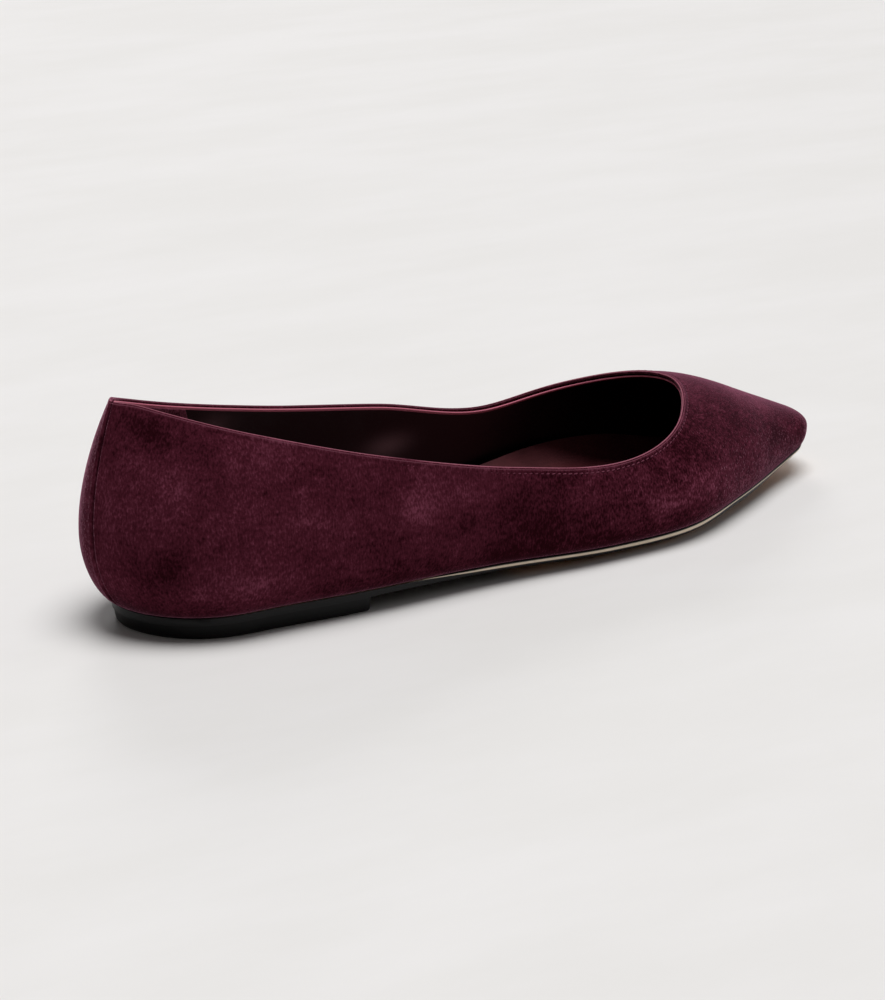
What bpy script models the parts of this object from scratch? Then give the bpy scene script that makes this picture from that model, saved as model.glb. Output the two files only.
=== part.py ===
"""Pointed ballet flat for the right foot, in metres: +X to the toe, +Y to the inner side, +Z up.

A suede upper is drawn over the last and its edge is turned in between the insole and a thin leather
outsole. A low lift under the heel levels the shoe on the ground.
"""

import bmesh
import bpy
import numpy as np

MM = 0.001


def table(columns, *rows):
    """A chart with named columns, one row for each station along the foot."""
    return dict(zip(columns.split(), np.array(rows, float).T))


# Driving dimensions in millimetres. Stations run from the back of the heel, heights from the ground.
# The heel and the toe round off over these lengths, seen from above; the toe's top drops over its own.
LENGTH = 262.0
HEEL_ROUND = 31.5
TOE_ROUND = 12.0
TOE_DROP = 6.2
TOE_NOSE = 0.6
TOE_SWING = 15.5
SWING_START = 130.0
THROAT = 198.5
BREAST = 67.5
GAP = 0.3

# Upper: its wall, and the edge that is turned in under the insole
WALL = 1.8
TURN_IN = 7.0
TOE_TURN_IN = 2.5
TOE_TURN_START = 225.0

# Back of the heel: the height that stands out furthest, and how the back curves in above and below it
BACK_BULGE = 28.4
BACK_LEAN = 7.3
BACK_BEND = 1.75
BACK_TUCK = 2.5
BACK_TUCK_HEIGHT = 10.0
BACK_REACH = 66.4

# Sections of the last: half widths to the outer and inner side at the widest level, how far the feather
# edge is tucked in under it, the heights of feather edge, widest level and crest, and the crest's fullness
LAST = table(
    "station outer inner tuck feather widest crest fullness",
    (0.0, 30.0, 25.3, 5.8, 5.8, 23.5, 69.2, 1.35),
    (30.0, 30.0, 29.5, 6.0, 6.2, 18.0, 79.0, 2.0),
    (65.0, 32.0, 31.5, 4.5, 6.2, 15.0, 83.0, 2.1),
    (110.0, 32.5, 31.5, 4.5, 5.2, 12.0, 72.0, 2.1),
    (150.0, 35.5, 35.0, 4.0, 3.9, 9.5, 51.5, 2.1),
    (180.0, 35.5, 36.5, 3.8, 3.9, 11.0, 41.0, 2.1),
    (210.0, 26.7, 29.0, 3.2, 4.7, 11.0, 35.3, 2.1),
    (240.0, 16.8, 17.0, 2.2, 6.6, 12.1, 24.0, 2.1),
    (262.0, 12.0, 9.8, 1.7, 10.0, 13.7, 15.3, 2.1),
)

# Height of the collar on both sides; at the throat it meets the crest
COLLAR = table(
    "station outer inner",
    (0.0, 61.7, 61.7),
    (30.0, 53.4, 52.7),
    (70.0, 42.0, 44.1),
    (115.0, 31.6, 37.4),
    (155.0, 27.4, 30.0),
)

# Outsole: thickness at its edge, which is pared thinner at the toe, how far it stands out from the feather
# edge, the shares across its underside where points lie, and how much further down its middle reaches
SOLE_EDGE = 1.9
SOLE_TOE_EDGE = 0.9
PARING_START = 210.0
PARING_END = 252.0
SOLE_BEVEL = 0.6
SOLE_LIP = 0.4
SOLE_STEPS = (-0.97, -0.85, -0.6, -0.35, 0.0, 0.35, 0.6, 0.85, 0.97)
CROWN = table(
    "station depth",
    (0.0, 0.0),
    (70.0, 0.0),
    (110.0, 1.2),
    (150.0, 2.4),
    (180.0, 2.4),
    (215.0, 1.0),
    (262.0, 0.3),
)

# Heel lift, and insole with its face, whose inner rim curls up the wall beside the ball of the foot
LIFT_INSET = 0.3
LIFT_TAPER = 0.6
LIFT_BEVEL = 0.7
INSOLE = 1.8
INSOLE_INSET = 0.3
INSOLE_HEEL_INSET = 0.8
INSOLE_TOE_INSET = 5.5
INSOLE_BEVEL = 0.5
INSOLE_FACE = 0.98
INSOLE_CURL_START = 0.7
INSOLE_CURL_STEPS = (0.98, 0.92, 0.86, 0.8, 0.75, 0.7)
INSOLE_CURL = table(
    "station lift",
    (0.0, 0.0),
    (105.0, 0.0),
    (150.0, 5.0),
    (175.0, 6.6),
    (200.0, 6.2),
    (228.0, 0.6),
    (262.0, 0.0),
)

SHARP_ANGLE = np.radians(40)


def along(chart, column, x):
    """A smooth curve through one column of a chart."""
    stations = chart["station"]
    values = chart[column]
    slopes = np.gradient(values, stations)
    i = np.clip(np.searchsorted(stations, x) - 1, 0, len(stations) - 2)
    step = stations[i + 1] - stations[i]
    t = np.clip((x - stations[i]) / step, 0, 1)
    start = values[i] * (1 + 2 * t) * (1 - t) ** 2 + slopes[i] * step * t * (1 - t) ** 2
    end = values[i + 1] * t * t * (3 - 2 * t) + slopes[i + 1] * step * t * t * (t - 1)
    return start + end


def ease(x, start, end):
    """0 before start and 1 after end, with a smooth rise between them."""
    t = np.clip((x - start) / (end - start), 0, 1)
    return t * t * (3 - 2 * t)


def quarter_round(share):
    """Rise of a quarter circle from 0 to 1."""
    return np.sqrt(1 - (1 - np.clip(share, 0, 1)) ** 2)


def spread_stations():
    """Stations of the mesh, closer together at the heel's back, the throat and the toe point."""
    turn = np.pi / 2
    heel = HEEL_ROUND * (1 - np.cos(np.linspace(0, turn, 9)))
    seat = np.linspace(HEEL_ROUND, BREAST, 4)
    opening = BREAST + (THROAT - BREAST) * np.sin(np.linspace(0, turn, 18))
    toe = THROAT + (LENGTH - THROAT) * np.sin(np.linspace(0, turn, 15))
    return np.concatenate([heel, seat[1:], opening[1:], toe[1:]])


class Loop:
    """The last's stations as one loop, seen from above: heel to toe outside, then back inside."""

    def __init__(self):
        x = spread_stations()
        self.count = len(x)
        self.x = np.concatenate([x, x[-2:0:-1]])
        self.side = np.where(np.arange(len(self.x)) < self.count, -1.0, 1.0)
        outer = along(LAST, "outer", self.x)
        inner = along(LAST, "inner", self.x)
        half = np.where(self.side < 0, outer, inner)
        half *= quarter_round(self.x / HEEL_ROUND) * quarter_round((LENGTH - self.x) / TOE_ROUND)
        forward = np.clip((self.x - SWING_START) / (LENGTH - SWING_START), 0, 1)
        self.middle = TOE_SWING * forward ** 2
        self.line = np.stack([self.x, self.middle + self.side * half], axis=1)
        tangent = np.roll(self.line, -1, axis=0) - np.roll(self.line, 1, axis=0)
        tangent /= np.linalg.norm(tangent, axis=1, keepdims=True)
        self.outward = np.stack([tangent[:, 1], -tangent[:, 0]], axis=1)
        self.feather = along(LAST, "feather", self.x)
        drop = quarter_round((LENGTH - self.x) / TOE_DROP)
        nose = TOE_NOSE + (1 - TOE_NOSE) * drop
        self.widest = self.feather + (along(LAST, "widest", self.x) - self.feather) * nose
        self.crest = self.widest + (along(LAST, "crest", self.x) - self.widest) * drop
        self.tuck = along(LAST, "tuck", self.x)

    def pairs(self):
        """Indexes of the outer and inner point at each station; they are the same one at both ends."""
        return [(i, -i % len(self.x)) for i in range(self.count)]

    def offset(self, amount):
        """The feather edge moved outward, seen from above."""
        shift = amount - self.tuck
        line = self.line + self.outward * shift[:, None]
        line[:, 0] += back_curve(self.x, self.feather)
        return line


def back_curve(x, z):
    """How far forward the heel's back curves at height z, fading out along the foot."""
    reach = np.clip(1 - x / BACK_REACH, 0, 1) ** 2
    above = np.clip((z - BACK_BULGE) / (COLLAR["outer"][0] - BACK_BULGE), 0, None)
    below = np.clip((BACK_BULGE - z) / (BACK_BULGE - BACK_TUCK_HEIGHT), 0, None)
    return reach * (BACK_LEAN * above ** BACK_BEND + BACK_TUCK * below ** 2)


def collar_height(loop):
    """Height of the opening's edge at each point of the loop, up to the throat."""
    throat_crest = along(LAST, "crest", THROAT)
    heights = []
    for column in ("outer", "inner"):
        chart = {
            "station": np.append(COLLAR["station"], THROAT),
            "height": np.append(COLLAR[column], throat_crest),
        }
        heights.append(along(chart, "height", np.minimum(loop.x, THROAT)))
    return np.where(loop.side < 0, heights[0], heights[1])


def upper_rows(loop):
    """Rows of the upper's outer face, from the turned-in edge under the foot up to collar and crest."""
    rows = []
    turn_in = TURN_IN + (TOE_TURN_IN - TURN_IN) * ease(loop.x, TOE_TURN_START, LENGTH)
    for share in (1.0, 0.5):
        flat = loop.offset(-turn_in * share)
        rows.append(np.column_stack([flat, loop.feather]))
    for angle in np.linspace(0, np.pi / 2, 6)[:-1]:
        shift = -loop.tuck * (1 - np.sin(angle))
        flat = loop.line + loop.outward * shift[:, None]
        z = loop.widest - (loop.widest - loop.feather) * np.cos(angle)
        x = flat[:, 0] + back_curve(loop.x, z)
        rows.append(np.column_stack([x, flat[:, 1], z]))
    fullness = along(LAST, "fullness", loop.x)
    rise = np.maximum(loop.crest - loop.widest, 1e-6)
    share = np.clip((collar_height(loop) - loop.widest) / rise, 0, 1)
    top = np.arcsin(share ** (fullness / 2))
    top[loop.x > THROAT - 1e-6] = np.pi / 2
    for step in np.linspace(0, 1, 10):
        angle = top * step
        level = np.clip(np.cos(angle), 0, 1) ** (2 / fullness)
        z = loop.widest + rise * np.sin(angle) ** (2 / fullness)
        y = loop.middle + (loop.line[:, 1] - loop.middle) * level
        rows.append(np.column_stack([loop.x + back_curve(loop.x, z), y, z]))
    return rows


def mesh_object(name, rows, material, cap_end=False):
    """An object of quads between closed rows of points, with the points that coincide made one."""
    mesh = bmesh.new()
    grid = [[mesh.verts.new(point * MM) for point in row] for row in rows]
    count = len(grid[0])
    for low, high in zip(grid, grid[1:]):
        for k in range(count):
            after = (k + 1) % count
            mesh.faces.new((low[k], low[after], high[after], high[k]))
    if cap_end:
        mesh.faces.new(grid[-1])
    bmesh.ops.remove_doubles(mesh, verts=mesh.verts, dist=0.01 * MM)
    bmesh.ops.dissolve_degenerate(mesh, edges=mesh.edges, dist=0.001 * MM)
    data = bpy.data.meshes.new(name)
    mesh.to_mesh(data)
    mesh.free()
    data.shade_smooth()
    data.set_sharp_from_angle(angle=SHARP_ANGLE)
    data.materials.append(material)
    return bpy.data.objects.new(name, data)


def finish(name, colour, roughness):
    """A plain surface finish of one colour."""
    material = bpy.data.materials.new(name)
    material.use_nodes = True
    shader = material.node_tree.nodes["Principled BSDF"]
    shader.inputs["Base Color"].default_value = (*colour, 1.0)
    shader.inputs["Roughness"].default_value = roughness
    shader.inputs["Metallic"].default_value = 0.0
    return material


def make_upper(loop):
    """Hollow suede upper: the outer face of the last with a wall set inward, open on top and below."""
    suede = finish("suede", (0.045, 0.010, 0.018), 0.95)
    upper = mesh_object("upper", upper_rows(loop), suede)
    shell = upper.modifiers.new("wall", "SOLIDIFY")
    shell.thickness = WALL * MM
    shell.offset = -1.0
    return upper


def lay_across(start, end, steps):
    """Points from one edge to the other, each step a share across (-1 to 1) with its height."""
    return np.array([(*(start + (end - start) * (q + 1) / 2), z) for q, z in steps])


def make_outsole(loop):
    """Thin leather outsole: a thin edge all round, a rounded middle, and a flat spot under the ball."""
    leather = finish("sole_leather", (0.40, 0.30, 0.21), 0.6)
    edge = loop.offset(SOLE_LIP)
    rings = []
    for outer, inner in loop.pairs():
        top = loop.feather[outer] - GAP
        crown = along(CROWN, "depth", loop.x[outer])
        pared = ease(loop.x[outer], PARING_START, PARING_END)
        edge_height = SOLE_EDGE + (SOLE_TOE_EDGE - SOLE_EDGE) * pared
        under = []
        for q in SOLE_STEPS:
            under.append((q, max(top - edge_height - crown * (1 - q * q), 0.0)))
        rim = top - edge_height + SOLE_BEVEL * edge_height / SOLE_EDGE
        steps = [(-1, top), (-1, rim), *under, (1, rim), (1, top)]
        rings.append(lay_across(edge[outer], edge[inner], steps))
    return mesh_object("outsole", rings, leather)


def make_heel(loop):
    """Low heel lift under the seat, with a straight front face and a flat base on the ground."""
    black = finish("heel_black", (0.008, 0.008, 0.009), 0.35)
    head = loop.offset(SOLE_LIP - LIFT_INSET)
    foot = loop.offset(SOLE_LIP - LIFT_INSET - LIFT_TAPER)
    tread = loop.offset(SOLE_LIP - LIFT_INSET - LIFT_TAPER - LIFT_BEVEL)
    rings = []
    for outer, inner in loop.pairs():
        if loop.x[outer] > BREAST + 1e-6:
            break
        top = loop.feather[outer] - GAP - SOLE_EDGE - GAP
        rings.append(np.array([
            (*head[outer], top),
            (*foot[outer], LIFT_BEVEL),
            (*tread[outer], 0.0),
            (*tread[inner], 0.0),
            (*foot[inner], LIFT_BEVEL),
            (*head[inner], top),
        ]))
    return mesh_object("heel", rings, black, cap_end=True)


def make_insole(loop):
    """Insole on the turned-in edge of the upper, cut to the inside of the wall."""
    lining = finish("insole_leather", (0.040, 0.014, 0.018), 0.55)
    inset = INSOLE_INSET + INSOLE_TOE_INSET * ease(loop.x, TOE_TURN_START, LENGTH)
    inset += INSOLE_HEEL_INSET * (1 - ease(loop.x, 0.0, HEEL_ROUND))
    edge = loop.offset(-inset)
    rings = []
    for outer, inner in loop.pairs():
        low = loop.feather[outer] + WALL + GAP
        high = low + INSOLE
        lift = along(INSOLE_CURL, "lift", loop.x[outer])
        steps = [(-1, high - INSOLE_BEVEL), (-1, low), (1, low), (1, high + lift - INSOLE_BEVEL)]
        for q in INSOLE_CURL_STEPS:
            steps.append((q, high + lift * ((q - INSOLE_CURL_START) / (1 - INSOLE_CURL_START)) ** 2))
        steps.append((-INSOLE_FACE, high))
        rings.append(lay_across(edge[outer], edge[inner], steps))
    return mesh_object("insole", rings, lining)


def main():
    for old in list(bpy.data.objects):
        bpy.data.objects.remove(old)
    shoe = bpy.data.collections.new("ballet_flat")
    bpy.context.scene.collection.children.link(shoe)
    loop = Loop()
    middle = (loop.line[:, 1].max() + loop.line[:, 1].min()) / 2
    base = bpy.data.objects.new("base", None)
    base.location = (-LENGTH / 2 * MM, -middle * MM, 0.0)
    shoe.objects.link(base)
    for piece in (make_upper(loop), make_outsole(loop), make_heel(loop), make_insole(loop)):
        shoe.objects.link(piece)
        piece.parent = base


main()
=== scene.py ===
import bmesh
import bpy
import numpy as np
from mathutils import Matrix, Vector, kdtree


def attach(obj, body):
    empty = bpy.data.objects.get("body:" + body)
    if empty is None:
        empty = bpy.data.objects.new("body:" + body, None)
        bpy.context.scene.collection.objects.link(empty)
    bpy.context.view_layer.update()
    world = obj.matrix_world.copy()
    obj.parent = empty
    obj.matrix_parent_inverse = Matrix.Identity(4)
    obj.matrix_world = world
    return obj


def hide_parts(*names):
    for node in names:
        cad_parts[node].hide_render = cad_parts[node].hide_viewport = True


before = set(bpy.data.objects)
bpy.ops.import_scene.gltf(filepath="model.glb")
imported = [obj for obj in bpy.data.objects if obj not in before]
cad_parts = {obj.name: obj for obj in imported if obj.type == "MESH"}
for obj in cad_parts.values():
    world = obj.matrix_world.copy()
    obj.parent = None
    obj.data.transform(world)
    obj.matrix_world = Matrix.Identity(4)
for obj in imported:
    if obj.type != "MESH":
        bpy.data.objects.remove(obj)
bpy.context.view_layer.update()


# Insole: a sock of smooth wine-brown leather on a firm board, cut to the bottom of the last. It lies on the
# turned-in edge of the upper, and its inner rim curls up the lining beside the ball of the foot. The last's
# sizes come first, in millimetres: stations from the back of the heel, heights from the ground.
MM = 0.001
LENGTH = 262.0
HEEL_ROUND = 31.5
TOE_ROUND = 12.0
TOE_DROP = 6.2
TOE_NOSE = 0.6
TOE_SWING = 15.5
SWING_START = 130.0
THROAT = 198.5
BREAST = 67.5
BACK_HEIGHT = 61.7
BACK_BULGE = 28.4
BACK_LEAN = 7.3
BACK_BEND = 1.75
BACK_TUCK = 2.5
BACK_TUCK_HEIGHT = 10.0
BACK_REACH = 66.4
WALL = 1.8
GAP = 0.3
INSOLE = 1.8
INSOLE_INSET = 0.3
INSOLE_HEEL_INSET = 0.8
INSOLE_TOE_INSET = 5.5
INSOLE_TOE_START = 225.0
INSOLE_BEVEL = 0.5
INSOLE_DISH = 0.35
INSOLE_CURL_START = 0.7
WELD = 0.008
SHARP_ANGLE = np.radians(40)


def chart(columns, *rows):
    """A table with named columns."""
    return dict(zip(columns.split(), np.array(rows, float).T))


LAST = chart(
    "station outer inner tuck feather widest crest fullness",
    (0.0, 30.0, 25.3, 5.8, 5.8, 23.5, 69.2, 1.35),
    (30.0, 30.0, 29.5, 6.0, 6.2, 18.0, 79.0, 2.0),
    (65.0, 32.0, 31.5, 4.5, 6.2, 15.0, 83.0, 2.1),
    (110.0, 32.5, 31.5, 4.5, 5.2, 12.0, 72.0, 2.1),
    (150.0, 35.5, 35.0, 4.0, 3.9, 9.5, 51.5, 2.1),
    (180.0, 35.5, 36.5, 3.8, 3.9, 11.0, 41.0, 2.1),
    (210.0, 26.7, 29.0, 3.2, 4.7, 11.0, 35.3, 2.1),
    (240.0, 16.8, 17.0, 2.2, 6.6, 12.1, 24.0, 2.1),
    (262.0, 12.0, 9.8, 1.7, 10.0, 13.7, 15.3, 2.1),
)


INSOLE_CURL = chart(
    "station lift",
    (0.0, 0.0),
    (105.0, 0.0),
    (150.0, 5.0),
    (175.0, 6.6),
    (200.0, 6.2),
    (228.0, 0.6),
    (262.0, 0.0),
)


def along(table, column, x):
    """A smooth curve through one column of a chart of stations."""
    stations = table["station"]
    values = table[column]
    slopes = np.gradient(values, stations)
    i = np.clip(np.searchsorted(stations, x) - 1, 0, len(stations) - 2)
    step = stations[i + 1] - stations[i]
    t = np.clip((x - stations[i]) / step, 0, 1)
    start = values[i] * (1 + 2 * t) * (1 - t) ** 2 + slopes[i] * step * t * (1 - t) ** 2
    end = values[i + 1] * t * t * (3 - 2 * t) + slopes[i + 1] * step * t * t * (t - 1)
    return start + end


def ease(x, start, end):
    """0 before start and 1 after end, with a smooth rise between them."""
    t = np.clip((x - start) / (end - start), 0, 1)
    return t * t * (3 - 2 * t)


def quarter_round(share):
    """Rise of a quarter circle from 0 to 1."""
    return np.sqrt(1 - (1 - np.clip(share, 0, 1)) ** 2)


def back_curve(x, z):
    """How far forward the heel's back curves at height z, fading out along the foot."""
    reach = np.clip(1 - x / BACK_REACH, 0, 1) ** 2
    above = np.clip((z - BACK_BULGE) / (BACK_HEIGHT - BACK_BULGE), 0, None)
    below = np.clip((BACK_BULGE - z) / (BACK_BULGE - BACK_TUCK_HEIGHT), 0, None)
    return reach * (BACK_LEAN * above ** BACK_BEND + BACK_TUCK * below ** 2)


def foot_stations(heel, seat, opening, toe, throat=THROAT, length=LENGTH, seam=1.0):
    """Stations along the foot, closer together at the heel's back, the throat and the toe point."""
    turn = np.pi / 2
    back = HEEL_ROUND * (1 - np.cos(turn * np.linspace(0, 1, heel) ** seam))
    side = np.linspace(HEEL_ROUND, BREAST, seat)
    front = BREAST + (throat - BREAST) * np.sin(np.linspace(0, turn, opening))
    vamp = throat + (length - throat) * (1 - np.cos(np.linspace(0, np.pi, toe))) / 2
    return np.concatenate([back, side[1:], front[1:], vamp[1:]])


class Loop:
    """The last's stations as one loop, seen from above: heel to toe outside, then back inside."""

    def __init__(self, stations, length=LENGTH):
        self.count = len(stations)
        self.x = np.concatenate([stations, stations[-2:0:-1]])
        self.side = np.where(np.arange(len(self.x)) < self.count, -1.0, 1.0)
        outer = along(LAST, "outer", self.x)
        inner = along(LAST, "inner", self.x)
        half = np.where(self.side < 0, outer, inner)
        half *= quarter_round(self.x / HEEL_ROUND) * quarter_round((length - self.x) / TOE_ROUND)
        forward = np.clip((self.x - SWING_START) / (LENGTH - SWING_START), 0, 1)
        self.middle = TOE_SWING * forward ** 2
        self.line = np.stack([self.x, self.middle + self.side * half], axis=1)
        tangent = np.roll(self.line, -1, axis=0) - np.roll(self.line, 1, axis=0)
        tangent /= np.linalg.norm(tangent, axis=1, keepdims=True)
        self.outward = np.stack([tangent[:, 1], -tangent[:, 0]], axis=1)
        self.feather = along(LAST, "feather", self.x)
        drop = quarter_round((length - self.x) / TOE_DROP)
        nose = TOE_NOSE + (1 - TOE_NOSE) * drop
        self.widest = self.feather + (along(LAST, "widest", self.x) - self.feather) * nose
        self.crest = self.widest + (along(LAST, "crest", self.x) - self.widest) * drop
        self.tuck = along(LAST, "tuck", self.x)
        self.fullness = along(LAST, "fullness", self.x)

    def pairs(self):
        """Indexes of the outer and inner point at each station; they are the same one at both ends."""
        return [(i, -i % len(self.x)) for i in range(self.count)]

    def offset(self, amount):
        """The feather edge moved outward, seen from above."""
        shift = amount - self.tuck
        line = self.line + self.outward * shift[:, None]
        line[:, 0] += back_curve(self.x, self.feather)
        return line


bottom = Loop(foot_stations(30, 16, 60, 60))
LAST_MIDDLE = (bottom.line[:, 1].max() + bottom.line[:, 1].min()) / 2
ORIGIN = np.array([LENGTH / 2, LAST_MIDDLE, 0.0])


def add_piece(name, *sheets, end_cap=None):
    """A smooth piece of quads between closed rows of points; sheets join where their points coincide."""
    mesh = bmesh.new()
    for rows in sheets:
        grid = [[mesh.verts.new((point - ORIGIN) * MM) for point in row] for row in rows]
        count = len(grid[0])
        for low, high in zip(grid, grid[1:]):
            for k in range(count):
                after = (k + 1) % count
                mesh.faces.new((low[k], low[after], high[after], high[k]))
    if end_cap is not None:
        mesh.faces.new([mesh.verts.new((point - ORIGIN) * MM) for point in end_cap])
    bmesh.ops.remove_doubles(mesh, verts=mesh.verts, dist=WELD * MM)
    bmesh.ops.dissolve_degenerate(mesh, edges=mesh.edges, dist=WELD * MM / 10)
    data = bpy.data.meshes.new(name)
    mesh.to_mesh(data)
    mesh.free()
    data.shade_smooth()
    data.set_sharp_from_angle(angle=SHARP_ANGLE)
    piece = bpy.data.objects.new(name, data)
    bpy.context.collection.objects.link(piece)
    return piece


def lay_across(start, end, steps):
    """Points from one edge to the other, each step a share across (-1 to 1) with its height."""
    return np.array([(*(start + (end - start) * (q + 1) / 2), z) for q, z in steps])


def insole_ring(station_index, edge):
    """Section of the insole: flat below, a rounded rim, a face that dishes a little, and the inner curl."""
    outer, inner = bottom.pairs()[station_index]
    low = bottom.feather[outer] + WALL + GAP
    high = low + INSOLE
    shares = np.sin(np.linspace(-np.pi / 2, np.pi / 2, 29))
    top = high - INSOLE_BEVEL * np.abs(shares) ** 40 - INSOLE_DISH * (1 - shares ** 2) ** 2
    curl = np.clip((shares - INSOLE_CURL_START) / (1 - INSOLE_CURL_START), 0, 1) ** 2
    top += along(INSOLE_CURL, "lift", bottom.x[outer]) * curl
    steps = [(1, low)] + list(zip(shares[::-1], top[::-1])) + [(-1, low)]
    return lay_across(edge[outer], edge[inner], steps)[::-1]


insole_inset = INSOLE_INSET + INSOLE_TOE_INSET * ease(bottom.x, INSOLE_TOE_START, LENGTH)
insole_inset += INSOLE_HEEL_INSET * (1 - ease(bottom.x, 0.0, HEEL_ROUND))
insole_edge = bottom.offset(-insole_inset)
insole = add_piece("insole_sock", [insole_ring(i, insole_edge) for i in range(bottom.count)])


class Wire:
    """An output of a shader node. Arithmetic with it adds Math nodes, and node() adds any other kind."""

    def __init__(self, socket):
        self.socket = socket

    def node(self, kind, settings=None, inputs=None, output=0):
        """A node of that kind: its settings are set first, then the values or links of its sockets."""
        made = self.socket.id_data.nodes.new("ShaderNode" + kind)
        for name, value in (settings or {}).items():
            setattr(made, name, value)
        return Wire(made.outputs[output]).fed(inputs or {})

    def fed(self, inputs):
        """The same output, with these values or links on its node's input sockets."""
        for key, value in inputs.items():
            socket = self.socket.node.inputs[key]
            if isinstance(value, Wire):
                self.socket.id_data.links.new(value.socket, socket)
            else:
                socket.default_value = value
        return self

    def maths(self, operation, first, second):
        return self.node("Math", {"operation": operation}, {0: first, 1: second})

    def __add__(self, other):
        return self.maths("ADD", self, other)

    def __sub__(self, other):
        return self.maths("SUBTRACT", self, other)

    def __rsub__(self, other):
        return self.maths("SUBTRACT", other, self)

    def __mul__(self, other):
        return self.maths("MULTIPLY", self, other)

    def __pow__(self, other):
        return self.maths("POWER", self, other)

    __radd__ = __add__
    __rmul__ = __mul__


def tint(red, green, blue):
    """A colour from its screen values, 0 to 255, as the shader's linear one."""
    screen = np.array([red, green, blue]) / 255
    return (*np.where(screen > 0.04045, ((screen + 0.055) / 1.055) ** 2.4, screen / 12.92), 1.0)


def new_finish(piece, name, values):
    """A material on the piece with these values on its shader. Gives the shader's output."""
    material = bpy.data.materials.new(name)
    material.use_nodes = True
    piece.data.materials.append(material)
    shader = Wire(material.node_tree.nodes["Principled BSDF"].outputs["BSDF"])
    return shader.fed(values)


def cloud(place, size, detail=2.0, roughness=0.5, distortion=0.0):
    """Soft noise with patches about that many millimetres across, from 0 to 1."""
    inputs = {"Vector": place, "Scale": 1 / (size * MM), "Detail": detail}
    inputs.update({"Roughness": roughness, "Distortion": distortion})
    return place.node("TexNoise", {}, inputs, "Fac")


def pebble(place, size):
    """Leather grain: small raised cells about that many millimetres across, with creases between them."""
    inputs = {"Vector": place, "Scale": 1 / (size * MM), "Randomness": 1.0}
    return place.node("TexVoronoi", {"feature": "DISTANCE_TO_EDGE"}, inputs, "Distance")


def between(value, low, high):
    """0 below low and 1 above high, with a smooth rise between them."""
    inputs = {"Value": value, "From Min": low, "From Max": high}
    return value.node("MapRange", {"interpolation_type": "SMOOTHSTEP"}, inputs, "Result")


def blend(share, first, second):
    """The first colour where share is 0 and the second where it is 1."""
    return share.node("Mix", {"data_type": "RGBA"}, {0: share, 6: first, 7: second}, 2)


def relief(height):
    """A bump whose height is in millimetres."""
    return height.node("Bump", {}, {"Height": height, "Distance": MM, "Strength": 1.0}, "Normal")


SOCK_LIGHT = tint(98, 43, 49)
SOCK_DARK = tint(70, 28, 33)
sock = new_finish(insole, "sock_leather", {"Specular IOR Level": 0.25})
place = sock.node("TexCoord", output="Object")
patches = between(cloud(place, 14.0, 4.0, 0.6), 0.3, 0.7)
cells = between(pebble(place, 0.8), 0.0, 0.25)
pores = cloud(place, 0.3)
sock.fed({
    "Base Color": blend(patches * 0.7 + cells * 0.3, SOCK_DARK, SOCK_LIGHT),
    "Roughness": 0.42 + patches * 0.12,
    "Normal": relief(cells * 0.02 + pores * 0.015),
})
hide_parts("insole")
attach(insole, "root")


# Lining: thin black glazed leather on the inside of the upper, stitched to it along the collar, which dips a
# little at the back seam. The edge is trimmed below the suede's and shows the pink of the raw leather.
COLLAR = chart(
    "station outer inner",
    (0.0, 61.7, 61.7),
    (30.0, 53.4, 52.7),
    (70.0, 42.0, 44.1),
    (115.0, 31.6, 37.4),
    (155.0, 27.4, 30.0),
)
LINING_DEPTH = 1.3
LINING = 0.5
LINING_DROP = 0.75
LINING_TOE = 254.0
FINE_STEPS = np.array([0.0, 0.25, 0.5, 0.8, 1.1, 1.4, 1.7, 1.9, 2.1, 2.3, 2.6, 3.0, 3.5, 4.2])
FINE_REACH = 14.0
FRONT_START = 120.0
LINE_STEP = 0.1
BACK_DIP = 1.0
BACK_DIP_REACH = 4.5

# Painted highlights on the glaze: soft paler patches where the light's reflection falls on the black lining
PAINTED_SHINE_PATCHES = chart(
    "side station height length rise amount",
    (1, 119.0, 24.5, 7.5, 3.2, 0.85),
    (1, 58.0, 40.0, 5.0, 4.0, 0.5),
    (-1, 118.0, 22.0, 9.0, 4.0, 0.8),
    (-1, 66.0, 36.0, 12.0, 4.0, 0.5),
)


def collar_angle(loop):
    """How far up the section's quarter round the collar lies at each point; all of it past the throat."""
    throat_crest = along(LAST, "crest", THROAT)
    heights = []
    for column in ("outer", "inner"):
        table = {
            "station": np.append(COLLAR["station"], THROAT),
            "height": np.append(COLLAR[column], throat_crest),
        }
        heights.append(along(table, "height", np.minimum(loop.x, THROAT)))
    height = np.where(loop.side < 0, *heights)
    share = np.clip((height - loop.widest) / np.maximum(loop.crest - loop.widest, 1e-6), 0, 1)
    return np.where(loop.x > THROAT - 1e-6, np.pi / 2, np.arcsin(share ** (loop.fullness / 2)))


def last_face(loop, top):
    """Rows up the last's face: the tuck over the feather edge, then the side up to the top angle."""
    rows = []
    for angle in np.linspace(0, np.pi / 2, 25)[:-1]:
        flat = loop.line - loop.outward * (loop.tuck * (1 - np.sin(angle)))[:, None]
        z = loop.widest - (loop.widest - loop.feather) * np.cos(angle)
        rows.append(np.column_stack([flat[:, 0] + back_curve(loop.x, z), flat[:, 1], z]))
    rise = np.maximum(loop.crest - loop.widest, 1e-6)
    for step in np.linspace(0, 1, 90):
        level = np.clip(np.cos(top * step), 0, 1) ** (2 / loop.fullness)
        z = loop.widest + rise * np.sin(top * step) ** (2 / loop.fullness)
        y = loop.middle + (loop.line[:, 1] - loop.middle) * level
        rows.append(np.column_stack([loop.x + back_curve(loop.x, z), y, z]))
    return np.array(rows)


def face_normals(face):
    """Outward directions of a face given as closed rows from the bottom up."""
    turn = np.roll(face, -1, axis=1) - np.roll(face, 1, axis=1)
    normals = np.cross(turn, np.gradient(face, axis=0))
    return normals / np.maximum(np.linalg.norm(normals, axis=2, keepdims=True), 1e-12)


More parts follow.
